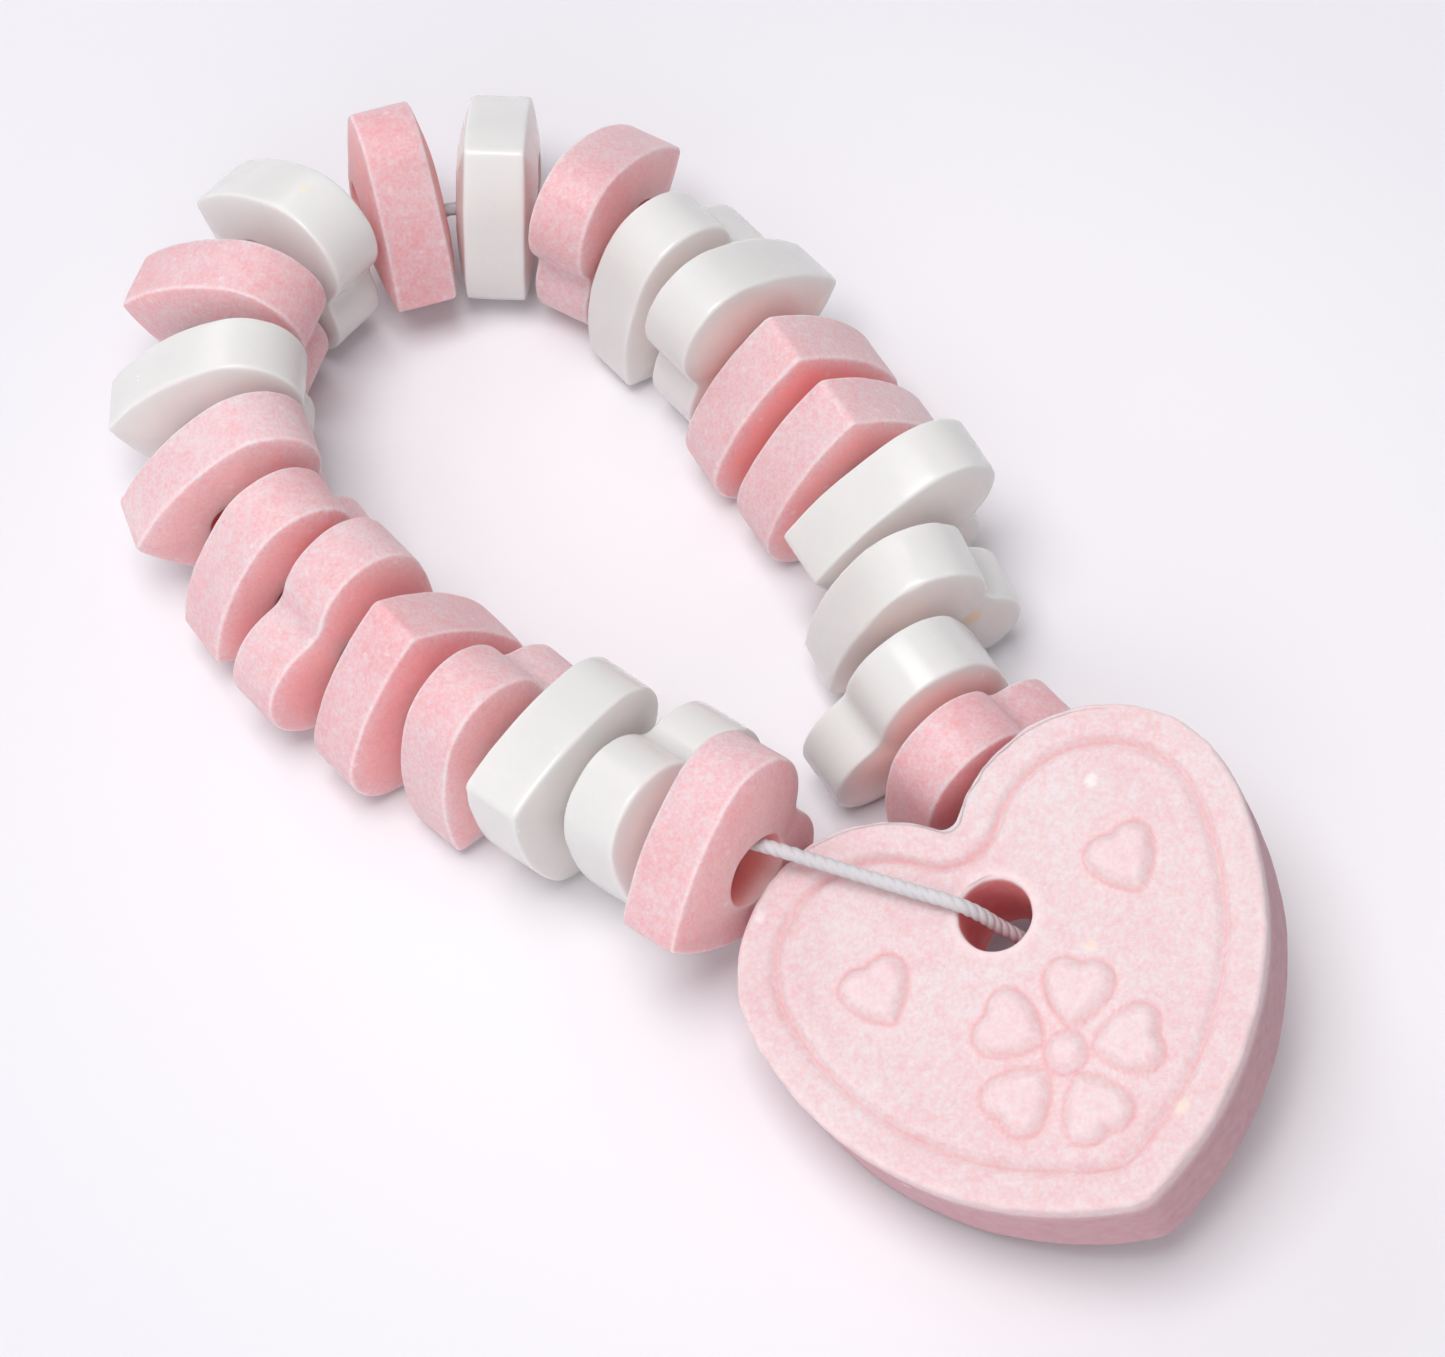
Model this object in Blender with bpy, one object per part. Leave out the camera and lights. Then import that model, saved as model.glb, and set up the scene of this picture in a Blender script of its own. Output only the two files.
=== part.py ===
"""Candy bracelet: heart-shaped pressed-sugar beads and a large heart pendant on a white elastic thread.

Every piece is a solid in metres, +Z up, resting on the plane z = 0 as the bracelet lies on a table.
A bead's local Z is the axis of its hole, and its local Y runs from the heart's tip to its notch.
"""

import math
from typing import NamedTuple

import bmesh
import bpy
from mathutils import Matrix, Vector

MM = 0.001


class Heart(NamedTuple):
    """A heart drawn with arcs: two lobes, a rounded notch between them, two long sides and a rounded tip."""

    width: float
    height: float
    lobe_r: float
    side_r: float
    tip_r: float
    notch_r: float


class Bead(NamedTuple):
    """One bead on the thread: its colour, the place of its hole in plan and how it is turned."""

    colour: str
    x_mm: float
    y_mm: float
    heading: float
    spin: float
    lean: float
    lift_mm: float = 0.0


# The small beads
BEAD = Heart(13.0 * MM, 12.0 * MM, 3.8 * MM, 14.5 * MM, 0.6 * MM, 1.4 * MM)
BEAD_RIM = 3.65 * MM
BEAD_DOME = 0.8 * MM
BEAD_HOLE_R = 2.2 * MM
BEAD_HOLE_DROP = 1.5 * MM
DOME_RING = 0.72

# The pendant
PENDANT = Heart(29.95 * MM, 27.6 * MM, 8.15 * MM, 20.8 * MM, 0.8 * MM, 0.9 * MM)
PENDANT_THICK = 7.2 * MM
PENDANT_EDGE = 0.4 * MM
PENDANT_HOLE_R = 2.0 * MM
PENDANT_HOLE_DROP = 0.9 * MM
PENDANT_XY = (14.4 * MM, -21.4 * MM)
PENDANT_HEADING = 113.3
PENDANT_PITCH = 1.8
PENDANT_ROLL = 19.0
GROOVE_INSET = 2.3 * MM
GROOVE_WIDTH = 0.9 * MM
GROOVE_DEPTH = 0.3 * MM
TIP_INSET_RATIO = 1.3

# The raised flower of small hearts on the pendant's face, and the two hearts in its lobes
MOTIF_HEART = Heart(3.8 * MM, 3.7 * MM, 1.1 * MM, 4.0 * MM, 0.3 * MM, 0.4 * MM)
MOTIF_RISE = 0.4 * MM
MOTIF_SHOULDER = 0.3 * MM
MOTIF_ROOT = 0.5 * MM
FLOWER_XY = (0.0, -9.9 * MM)
PETALS = 5
PETAL_OUT = 4.1 * MM
CENTRE_R = 1.1 * MM
LOBE_HEART_XY = (7.6 * MM, -1.0 * MM)

# The thread
THREAD_R = 0.425 * MM
THREAD_CLEAR = 0.38 * MM
THREAD_STEPS = 2
TAUT_ROUNDS = 12

# Sides of the faceted outlines, for one half of a heart: notch, lobe, side and tip
BEAD_STEPS = (1, 8, 5, 2)
PENDANT_STEPS = (2, 14, 8, 2)
MOTIF_STEPS = (1, 6, 3, 1)
CENTRE_SIDES = 12

# From the bead beside the pendant, round the loop. The heading is that of the thread, in degrees from +X.
# The spin turns the heart about the thread, and the lean tips the hole's axis up.
# The first bead hangs on the thread where it rises to the pendant's face, so it has a lift.
BEADS = (
    Bead("pink", 0.0, -16.7, 141, 86, -10, 2.2),
    Bead("white", -3.5, -12.9, 140, 24, -11),
    Bead("white", -9.1, -10.8, 140, 125, -5),
    Bead("pink", -13.3, -7.4, 135, 45, -5),
    Bead("pink", -17.7, -3.9, 130, 175, -5),
    Bead("pink", -22.0, 0.0, 130, 320, -5),
    Bead("pink", -25.7, 4.3, 125, 65, 0),
    Bead("pink", -28.8, 9.3, 110, 85, 0),
    Bead("white", -30.0, 15.2, 90, 90, 0),
    Bead("pink", -29.5, 21.7, 70, 95, 5),
    Bead("white", -26.2, 27.2, 50, 95, 0),
    Bead("pink", -20.05, 30.85, 17, 288, 1),
    Bead("white", -13.9, 32.0, -1, 199, -1),
    Bead("pink", -7.5, 29.4, -30, 95, 0),
    Bead("white", -3.0, 25.3, -50, 310, 0),
    Bead("white", 0.7, 21.1, -50, 95, 0),
    Bead("pink", 4.1, 16.3, -60, 185, 0),
    Bead("pink", 7.2, 11.7, -60, 185, 0),
    Bead("white", 10.2, 7.0, -60, 265, -5),
    Bead("white", 11.0, 1.2, -67.5, 300, -5),
    Bead("white", 11.0, -5.45, -57.5, 60, -4.5),
    Bead("pink", 14.4, -9.95, -51, 325, 0),
)

# Colour, roughness
FINISHES = {
    "pink": ((0.86, 0.52, 0.54), 0.6),
    "white": ((0.86, 0.84, 0.82), 0.45),
    "pendant": ((0.90, 0.66, 0.66), 0.7),
    "thread": ((0.85, 0.84, 0.85), 0.8),
}


def clear_scene():
    """Removes what the startup scene holds."""
    for obj in list(bpy.data.objects):
        bpy.data.objects.remove(obj, do_unlink=True)


def arc(centre, radius, start, end, steps):
    """Points along an arc from one angle to another, without the first."""
    angles = [start + (end - start) * i / steps for i in range(1, steps + 1)]
    return [centre + radius * Vector((math.cos(a), math.sin(a))) for a in angles]


def angle_of(vector):
    return math.atan2(vector.y, vector.x)


def heart_outline(heart, steps):
    """Points of the outline, clockwise from the bottom of the notch, with the lobes' centres on y = 0."""
    lobe = Vector((heart.width / 2 - heart.lobe_r, 0.0))
    tip = Vector((0.0, heart.lobe_r + heart.tip_r - heart.height))
    notch = Vector((0.0, math.sqrt((heart.lobe_r + heart.notch_r) ** 2 - lobe.x ** 2)))
    # The side's circle holds the lobe's and the tip's circles and touches both.
    to_lobe = heart.side_r - heart.lobe_r
    to_tip = heart.side_r - heart.tip_r
    across = tip - lobe
    along = (to_lobe ** 2 - to_tip ** 2 + across.length_squared) / (2 * across.length)
    square = Vector((across.y, -across.x)).normalized()
    side = lobe + across.normalized() * along + square * math.sqrt(to_lobe ** 2 - along ** 2)

    from_notch = angle_of(lobe - notch)
    lobe_start = from_notch + math.pi
    lobe_end = angle_of(lobe - side)
    tip_start = angle_of(tip - side)
    half = [notch + Vector((0.0, -heart.notch_r))]
    half += arc(notch, heart.notch_r, -math.pi / 2, from_notch, steps[0])
    half += arc(lobe, heart.lobe_r, lobe_start, lobe_end, steps[1])
    half += arc(side, heart.side_r, lobe_end, tip_start, steps[2])
    half += arc(tip, heart.tip_r, tip_start, -math.pi / 2, steps[3])
    return half + [Vector((-p.x, p.y)) for p in reversed(half[1:-1])]


def inset_heart(heart, inset):
    """The same heart drawn a distance inside its outline."""
    return Heart(
        heart.width - 2 * inset,
        heart.height - (1 + TIP_INSET_RATIO) * inset,
        heart.lobe_r - inset,
        heart.side_r - inset,
        heart.tip_r,
        heart.notch_r + inset,
    )


def level(points, z):
    return [Vector((p.x, p.y, z)) for p in points]


def hole_ring(outline, centre, radius, z):
    """The hole's edge, with one point under each point of the outline."""
    return level([centre + (p - centre).normalized() * radius for p in outline], z)


def new_object(name, build):
    """An object from a finished bmesh, with its faces turned outwards."""
    bmesh.ops.recalc_face_normals(build, faces=build.faces)
    mesh = bpy.data.meshes.new(name)
    build.to_mesh(mesh)
    build.free()
    obj = bpy.data.objects.new(name, mesh)
    bpy.context.collection.objects.link(obj)
    return obj


def join_rings(build, rings):
    """Adds the rings' points and the walls between each ring and the next, and gives the rings back."""
    made = [[build.verts.new(p) for p in ring] for ring in rings]
    for ring, following in zip(made, made[1:]):
        for i in range(len(ring)):
            j = (i + 1) % len(ring)
            build.faces.new((ring[i], ring[j], following[j], following[i]))
    return made


def holed_solid(name, rings):
    """A solid with a hole through it: the last ring is joined to the first by the hole's wall."""
    build = bmesh.new()
    join_rings(build, rings + rings[:1])
    bmesh.ops.remove_doubles(build, verts=build.verts, dist=0.001 * MM)
    return new_object(name, build)


def capped_solid(build, rings):
    """Adds a solid between two flat caps."""
    made = join_rings(build, rings)
    build.faces.new(list(reversed(made[0])))
    build.faces.new(made[-1])


def bead_solid(name):
    """A bead: a straight rim between two shallow domes, with a round hole through both."""
    outline = heart_outline(BEAD, BEAD_STEPS)
    centre = Vector((0.0, -BEAD_HOLE_DROP))
    outline = [p - centre for p in outline]
    origin = Vector((0.0, 0.0))
    hole = hole_ring(outline, origin, BEAD_HOLE_R, 0.0)
    rings = []
    for side in (-1, 1):
        face = [(1.0, outline), (DOME_RING, [p * DOME_RING for p in outline]), (None, hole)]
        dome = []
        for reach, points in face:
            shares = [reach or p.xy.length / q.length for p, q in zip(points, outline)]
            heights = [BEAD_RIM / 2 + BEAD_DOME * (1 - s ** 2) for s in shares]
            dome.append([Vector((p.x, p.y, side * h)) for p, h in zip(points, heights)])
        rings += dome if side > 0 else list(reversed(dome))
    return holed_solid(name, rings)


def pendant_solid(name):
    """The pendant's slab, with a worn edge, a shallow groove inside it and a hole near the notch."""
    outline = heart_outline(PENDANT, PENDANT_STEPS)
    edge = heart_outline(inset_heart(PENDANT, PENDANT_EDGE), PENDANT_STEPS)
    grooves = [
        heart_outline(inset_heart(PENDANT, GROOVE_INSET + shift * GROOVE_WIDTH / 2), PENDANT_STEPS)
        for shift in (1, 0, -1)
    ]
    centre = Vector((0.0, -PENDANT_HOLE_DROP))
    floor = -PENDANT_THICK
    rings = [
        hole_ring(outline, centre, PENDANT_HOLE_R, 0.0),
        level(grooves[0], 0.0),
        level(grooves[1], -GROOVE_DEPTH),
        level(grooves[2], 0.0),
        level(edge, 0.0),
        level(outline, -PENDANT_EDGE),
        level(outline, floor + PENDANT_EDGE),
        level(edge, floor),
        hole_ring(outline, centre, PENDANT_HOLE_R, floor),
    ]
    return holed_solid(name, rings)


def raised_shape(build, outline, inner, place):
    """Adds one raised shape with a sloping shoulder, rooted in the pendant's face."""
    heights = (-MOTIF_ROOT, MOTIF_RISE - MOTIF_SHOULDER, MOTIF_RISE)
    rings = [level(points, z) for points, z in zip((outline, outline, inner), heights)]
    capped_solid(build, [[place @ p for p in ring] for ring in rings])


def circle(radius):
    angles = [2 * math.pi * i / CENTRE_SIDES for i in range(CENTRE_SIDES)]
    return [radius * Vector((math.cos(a), math.sin(a))) for a in angles]


def motif_form(name):
    """The raised motif as one helper mesh: five heart petals round a disc, and a heart in each lobe."""
    build = bmesh.new()
    outline = heart_outline(MOTIF_HEART, MOTIF_STEPS)
    inner = heart_outline(inset_heart(MOTIF_HEART, MOTIF_SHOULDER), MOTIF_STEPS)
    middle = Matrix.Translation((*FLOWER_XY, 0.0))
    raised_shape(build, circle(CENTRE_R), circle(CENTRE_R - MOTIF_SHOULDER), middle)
    for i in range(PETALS):
        turn = Matrix.Rotation(2 * math.pi * (i + 0.5) / PETALS, 4, "Z")
        raised_shape(build, outline, inner, middle @ turn @ Matrix.Translation((0.0, PETAL_OUT, 0.0)))
    for side in (-1, 1):
        lobe = Matrix.Translation((side * LOBE_HEART_XY[0], LOBE_HEART_XY[1], 0.0))
        raised_shape(build, outline, inner, lobe)
    return new_object(name, build)


def raise_motif(pendant):
    """Fuses the motif with the pendant's face."""
    motif = motif_form("motif_form")
    motif.hide_render = True
    motif.display_type = "WIRE"
    motif.parent = pendant
    fuse = pendant.modifiers.new("raised motif", "BOOLEAN")
    fuse.operation = "UNION"
    fuse.solver = "EXACT"
    fuse.object = motif


def bead_rotation(bead):
    """Turns local Z to the heading and the lean, after the spin about it."""
    upright = Matrix(((0, 0, 1), (1, 0, 0), (0, 1, 0)))
    heading = Matrix.Rotation(math.radians(bead.heading), 3, "Z")
    lean = Matrix.Rotation(-math.radians(bead.lean), 3, "Y")
    spin = Matrix.Rotation(math.radians(bead.spin), 3, "Z")
    return heading @ lean @ upright @ spin


def pendant_rotation():
    """Turns the notch to the heading and the pitch, and rolls the right lobe up about the line from tip to notch."""
    heading = Matrix.Rotation(math.radians(PENDANT_HEADING - 90), 3, "Z")
    pitch = Matrix.Rotation(math.radians(PENDANT_PITCH), 3, "X")
    return heading @ pitch @ Matrix.Rotation(-math.radians(PENDANT_ROLL), 3, "Y")


def set_down(obj, rotation, x, y, lift=0.0):
    """Places a solid over a point of the plan, with its lowest point at the lift over z = 0."""
    lowest = min((rotation @ v.co).z for v in obj.data.vertices)
    obj.matrix_world = Matrix.Translation((x, y, lift - lowest)) @ rotation.to_4x4()


def centre_on_origin(objects):
    """Slides the whole bracelet so that the middle of its box in plan is over the origin."""
    points = [obj.matrix_world @ v.co for obj in objects for v in obj.data.vertices]
    for axis in (0, 1):
        places = [p[axis] for p in points]
        middle = (min(places) + max(places)) / 2
        for obj in objects:
            obj.location[axis] -= middle
    bpy.context.view_layer.update()


def drawn_taut(mouths, free_r):
    """Points in the holes' mouths, drawn towards the straight way between their neighbours as a taut thread is."""
    points = [centre for centre, axis in mouths]
    for _ in range(TAUT_ROUNDS):
        for i in range(1, len(mouths) - 1):
            centre, axis = mouths[i]
            before = points[i - 1]
            way = points[i + 1] - before
            share = (centre - before).dot(axis) / max(way.dot(axis), THREAD_R)
            offset = before + way * min(max(share, 0.0), 1.0) - centre
            aside = offset - axis * offset.dot(axis)
            points[i] = centre + aside * (free_r / max(aside.length, free_r))
    return points


def thread_route(beads, pendant):
    """The thread's points: through every bead, down under the pendant, up its hole and back over its face."""
    half = BEAD_RIM / 2 + BEAD_DOME
    free_r = BEAD_HOLE_R - THREAD_R - THREAD_CLEAR
    over = THREAD_R + THREAD_CLEAR
    hole_y = -PENDANT_HOLE_DROP
    mouths = []
    for bead in beads:
        axis = bead.matrix_world.to_3x3() @ Vector((0.0, 0.0, 1.0))
        centre = bead.matrix_world.translation
        mouths += [(centre - axis * half, axis), (centre + axis * half, axis)]
    # It leaves the first bead at the top of the hole and the last one below the middle.
    mouths[0] = (mouths[0][0] + Vector((0.0, 0.0, free_r)), mouths[0][1])
    mouths[-1] = (mouths[-1][0] - Vector((0.0, 0.0, free_r / 2)), mouths[-1][1])
    in_pendant = (
        (0.6 * MM, hole_y - 0.3 * MM, -PENDANT_THICK - 1.2 * MM),
        (0.4 * MM, hole_y - 0.8 * MM, -PENDANT_THICK / 2),
        (0.0, hole_y - 0.2 * MM, 0.2 * MM),
        (-2.2 * MM, hole_y + 2.3 * MM, over + 0.35 * MM),
    )
    return drawn_taut(mouths, free_r) + [pendant.matrix_world @ Vector(p) for p in in_pendant]


def thread_tube(name, route):
    """The thread as one closed tube along a smooth curve through its route."""
    curve = bpy.data.curves.new(name, "CURVE")
    curve.dimensions = "3D"
    curve.bevel_depth = THREAD_R
    curve.bevel_resolution = 1
    curve.resolution_u = THREAD_STEPS
    spline = curve.splines.new("BEZIER")
    spline.bezier_points.add(len(route) - 1)
    for point, place in zip(spline.bezier_points, route):
        point.co = place
        point.handle_left_type = "AUTO"
        point.handle_right_type = "AUTO"
    spline.use_cyclic_u = True
    obj = bpy.data.objects.new(name, curve)
    bpy.context.collection.objects.link(obj)
    return obj


def finish(name):
    """The plain material of one finish, made once."""
    found = bpy.data.materials.get(name)
    if found:
        return found
    colour, roughness = FINISHES[name]
    material = bpy.data.materials.new(name)
    material.use_nodes = True
    shader = material.node_tree.nodes["Principled BSDF"]
    shader.inputs["Base Color"].default_value = (*colour, 1.0)
    shader.inputs["Roughness"].default_value = roughness
    shader.inputs["Metallic"].default_value = 0.0
    return material


def shade(obj, crease):
    """Shades a mesh smooth, with the edges over the crease angle kept sharp."""
    for face in obj.data.polygons:
        face.use_smooth = True
    obj.data.set_sharp_from_angle(angle=math.radians(crease))


def main():
    clear_scene()
    beads = []
    for number, bead in enumerate(BEADS, start=1):
        obj = bead_solid(f"bead_{number:02d}")
        set_down(obj, bead_rotation(bead), bead.x_mm * MM, bead.y_mm * MM, bead.lift_mm * MM)
        obj.data.materials.append(finish(bead.colour))
        shade(obj, 35)
        beads.append(obj)
    pendant = pendant_solid("pendant")
    set_down(pendant, pendant_rotation(), *PENDANT_XY)
    pendant.data.materials.append(finish("pendant"))
    shade(pendant, 35)
    raise_motif(pendant)
    centre_on_origin(beads + [pendant])
    thread = thread_tube("thread", thread_route(beads, pendant))
    thread.data.materials.append(finish("thread"))


main()
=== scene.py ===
"""The looks of a candy bracelet: heart beads and a large heart pendant of pressed sugar on a white thread.

Lengths are in metres. A heart's own Z is the axis of its hole, and its own Y runs from its tip to its notch.
"""

import logging
import math
from dataclasses import dataclass, field
from enum import Enum
from typing import Callable, Sequence

import bmesh
import bpy
import numpy as np
from bmesh.types import BMEdge
from bpy.types import Material, Mesh, NodeSocket, Object
from mathutils import Matrix, Vector, noise
from mathutils.geometry import interpolate_bezier


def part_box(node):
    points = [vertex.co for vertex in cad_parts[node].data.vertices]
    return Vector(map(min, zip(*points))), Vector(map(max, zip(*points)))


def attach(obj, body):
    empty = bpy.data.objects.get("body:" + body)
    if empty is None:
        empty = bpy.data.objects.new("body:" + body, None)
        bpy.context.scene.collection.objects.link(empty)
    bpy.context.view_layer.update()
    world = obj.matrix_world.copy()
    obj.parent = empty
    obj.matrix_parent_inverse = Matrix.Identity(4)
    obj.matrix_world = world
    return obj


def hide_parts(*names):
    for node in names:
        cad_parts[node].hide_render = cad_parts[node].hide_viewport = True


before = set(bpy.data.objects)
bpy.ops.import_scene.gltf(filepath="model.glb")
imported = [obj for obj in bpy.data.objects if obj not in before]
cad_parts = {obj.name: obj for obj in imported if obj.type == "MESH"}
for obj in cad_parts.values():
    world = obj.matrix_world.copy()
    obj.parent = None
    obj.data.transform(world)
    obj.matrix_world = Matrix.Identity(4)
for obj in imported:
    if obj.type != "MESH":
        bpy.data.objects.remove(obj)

MM = 0.001
NEAR = 0.01 * MM
EDGE_STEPS = 3
MOUTH_STEPS = 2
SEED_STEP = (7.13, 3.71, 5.17)
BODY = "root"
IMAGE_WIDTH = 1445
LOG = logging.getLogger("candy_bracelet")

Ring = np.ndarray
Colour = tuple[float, float, float]
Place = tuple[float, float, float]
Steps = tuple[int, int, int, int]


class Sugar(Enum):
    """The kinds of pressed sugar, by the record's material slot."""

    PINK = "pink_sugar"
    WHITE = "white_sugar"
    PENDANT = "pendant_sugar"


class Track(Enum):
    """The numbers that a piece carries at each of its points for its finish."""

    WORN = "worn"
    # painted shade and red glow, where light bounces between parts or shines through them
    PAINTED_SHADE_GLOW = "painted_shade_glow"
    TONE = "tone"
    GLOSS = "gloss"
    # painted shade on the pendant's side walls
    SKIN = "side_shade"


# Shader maths

SPOT_CORE = 0.4
FLECK_CORE = 0.5
NOISE_MIDDLE = 0.5


class Value:
    """A shader socket that is worked with as a number."""

    def __init__(self, graph: "Graph", socket: NodeSocket) -> None:
        """Wraps a socket of a graph."""
        self.graph = graph
        self.socket = socket

    def maths(self, operation: str, *values: "Value | float", clamp: bool = False) -> "Value":
        """What a Math node makes of the values, kept from 0 to 1 where clamp is set."""
        settings = {"operation": operation, "use_clamp": clamp}
        return self.graph.node("ShaderNodeMath", settings, dict(enumerate(values)))

    def __add__(self, other: "Value | float") -> "Value":
        """The sum."""
        return self.maths("ADD", self, other)

    __radd__ = __add__

    def __sub__(self, other: "Value | float") -> "Value":
        """The difference."""
        return self.maths("SUBTRACT", self, other)

    def __rsub__(self, other: float) -> "Value":
        """The difference from a number."""
        return self.maths("SUBTRACT", other, self)

    def __mul__(self, other: "Value | float") -> "Value":
        """The product."""
        return self.maths("MULTIPLY", self, other)

    def clamped(self) -> "Value":
        """The value kept from 0 to 1."""
        return self.maths("ADD", self, 0.0, clamp=True)

    def between(self, low: float, high: float) -> "Value":
        """A smooth step from 0 at low to 1 at high, which may be under low."""
        inputs = {"Value": self, "From Min": low, "From Max": high}
        return self.graph.node("ShaderNodeMapRange", {"interpolation_type": "SMOOTHSTEP"}, inputs)


class Graph:
    """The node tree of one material, on Object coordinates."""

    def __init__(self, name: str) -> None:
        """Makes the material with a bare Principled shader.

        Args:
            name: The material's name.
        """
        self.material = bpy.data.materials.new(name)
        self.material.use_nodes = True
        self.tree = self.material.node_tree
        self.tree.nodes.clear()
        self.shader = self.tree.nodes.new("ShaderNodeBsdfPrincipled")
        output = self.tree.nodes.new("ShaderNodeOutputMaterial")
        self.tree.links.new(self.shader.outputs["BSDF"], output.inputs["Surface"])
        self.place = self.node("ShaderNodeTexCoord", {}, {}, "Object")

    def feed(self, target: NodeSocket, given: object) -> None:
        """Links a value to a socket, or sets it there.

        Args:
            target: The socket.
            given: A Value, a number, a colour or a vector.
        """
        if isinstance(given, Value):
            self.tree.links.new(given.socket, target)
        elif isinstance(given, (int, float)) or len(given) == len(target.default_value):
            target.default_value = given
        else:
            target.default_value = (*given, 1.0)

    def node(self, kind: str, settings: dict, inputs: dict, output: str | int = 0) -> Value:
        """Adds a node.

        Args:
            kind: The node's type.
            settings: Its own settings, which are set first.
            inputs: Values for its sockets, by name or number.
            output: The socket that is given back.

        Returns:
            The chosen output.
        """
        made = self.tree.nodes.new(kind)
        for name, setting in settings.items():
            setattr(made, name, setting)
        for name, given in inputs.items():
            self.feed(made.inputs[name], given)
        return Value(self, made.outputs[output])

    def grain(self, size: float, detail: float = 2.0, rough: float = 0.5) -> Value:
        """Noise of about 0.3 to 0.7, with spots of a size in metres and rough octaves of finer detail."""
        inputs = {"Vector": self.place, "Scale": 1 / size, "Detail": detail, "Roughness": rough}
        return self.node("ShaderNodeTexNoise", {}, inputs)

    def flecks(self, size: float, width: float) -> Value:
        """1 on round flecks and 0 between them: one in each cell of a size in metres, a share of it wide."""
        inputs = {"Vector": self.place, "Scale": 1 / size, "Randomness": 1.0}
        return self.node("ShaderNodeTexVoronoi", {}, inputs, "Distance").between(width, width * FLECK_CORE)

    def track(self, track: Track) -> Value:
        """One of the numbers that the piece carries."""
        return self.node("ShaderNodeAttribute", {"attribute_name": track.value}, {}, "Fac")

    def mixed(self, first: object, second: object, share: Value) -> Value:
        """A mix of two colours.

        Args:
            first: The colour at 0.
            second: The colour at 1.
            share: The share of the second.

        Returns:
            The mixed colour.
        """
        return self.node("ShaderNodeMix", {"data_type": "RGBA"}, {0: share, 6: first, 7: second}, 2)

    def spot(self, place: Place, radius: float) -> Value:
        """A round spot with a soft edge.

        Args:
            place: Its middle in metres.
            radius: Its radius in metres.

        Returns:
            1 in the spot and 0 round it.
        """
        ends = {0: self.place, 1: place}
        away = self.node("ShaderNodeVectorMath", {"operation": "DISTANCE"}, ends, "Value")
        return away.between(radius, radius * SPOT_CORE)

    def dent(self, height: Value, strength: float, depth: float) -> Value:
        """The normal that a Bump node gives for a height, where 1 stands for a depth in metres."""
        return self.node("ShaderNodeBump", {}, {"Height": height, "Strength": strength, "Distance": depth})

    def shade(self, inputs: dict) -> Material:
        """Feeds the shader's own sockets.

        Args:
            inputs: Values by the sockets' names.

        Returns:
            The finished material.
        """
        for name, given in inputs.items():
            self.feed(self.shader.inputs[name], given)
        return self.material


# Finishes


@dataclass(frozen=True)
class Stain:
    """A small coloured spot in the sugar."""

    place: Place
    radius: float
    colour: Colour


@dataclass(frozen=True)
class SugarFinish:
    """Pressed sugar: fine crystals of two tones, paler where it is worn, with some light let into it, and
    painted shade and glow in holes, gaps and on side walls.
    """

    deep: Colour
    pale: Colour
    # the colour of the painted shade and glow in holes, gaps and creases
    shade_glow_colour: Colour
    # the colour of the painted shade on side walls
    side_shade: Colour
    fleck: Colour
    worn: Colour
    crystal: float
    mottle: float
    contrast: float
    fleck_cell: float
    fleck_share: float
    flecks: float
    wear: float
    rough: float
    shine: float
    dents: float
    glow: float
    reach: Colour
    stains: tuple[Stain, ...] = ()
    cloud_size: float = 7.0
    pattern_shares: tuple[float, float, float] = (1.7, 0.8, 0.6)
    side_shade_swing: float = 0.5
    fleck_rise: float = 0.2
    stain_rise: float = 0.1
    crystal_dent: float = 0.55
    dent_depth: float = 0.12 * MM
    rough_swing: float = 0.2
    gloss_gain: float = 0.2
    refraction: float = 1.45

    def material(self, name: str) -> Material:
        """Makes the material.

        Args:
            name: The material's name.

        Returns:
            The material, from crystals, a mottle of wider spots and a cloud of the widest.
        """
        graph = Graph(name)
        crystal = graph.grain(self.crystal, detail=3.0, rough=0.7)
        mottle = graph.grain(self.mottle)
        cloud = graph.grain(self.mottle * self.cloud_size, detail=1.0)
        fleck = graph.flecks(self.fleck_cell, self.fleck_share)
        gloss = graph.track(Track.GLOSS)
        shade = graph.track(Track.TONE)
        for pattern, share in zip((crystal, mottle, cloud), self.pattern_shares):
            shade = shade + (pattern - NOISE_MIDDLE) * (share * self.contrast)
        layers = [
            (self.pale, shade),
            # painted shade and glow: holes, gaps and creases take a redder or darker colour, for light
            # bounced between parts or let through them
            (self.shade_glow_colour, graph.track(Track.PAINTED_SHADE_GLOW) * (mottle + NOISE_MIDDLE)),
            # painted shade: the side walls are painted darker mauve, as they are in shade
            (self.side_shade, graph.track(Track.SKIN) * ((mottle - NOISE_MIDDLE) * self.side_shade_swing + 1.0)),
            (self.fleck, fleck * (crystal + self.fleck_rise) * self.flecks),
            (self.worn, graph.track(Track.WORN) * (crystal + mottle) * self.wear),
        ]
        for stain in self.stains:
            layers.append((stain.colour, graph.spot(stain.place, stain.radius) * (mottle + self.stain_rise)))
        colour = self.deep
        for layer, share in layers:
            colour = graph.mixed(colour, layer, share.clamped())
        height = (crystal * self.crystal_dent + mottle * (1.0 - self.crystal_dent)) * (1.0 - gloss)
        rough = self.rough + (mottle - NOISE_MIDDLE) * self.rough_swing - gloss * self.gloss_gain
        return graph.shade({
            "Base Color": colour,
            "Roughness": rough.clamped(),
            "Normal": graph.dent(height, self.dents, self.dent_depth),
            "Subsurface Weight": self.glow,
            "Subsurface Radius": self.reach,
            "Subsurface Scale": 1.0,
            "IOR": self.refraction,
            "Specular IOR Level": self.shine,
        })


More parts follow.
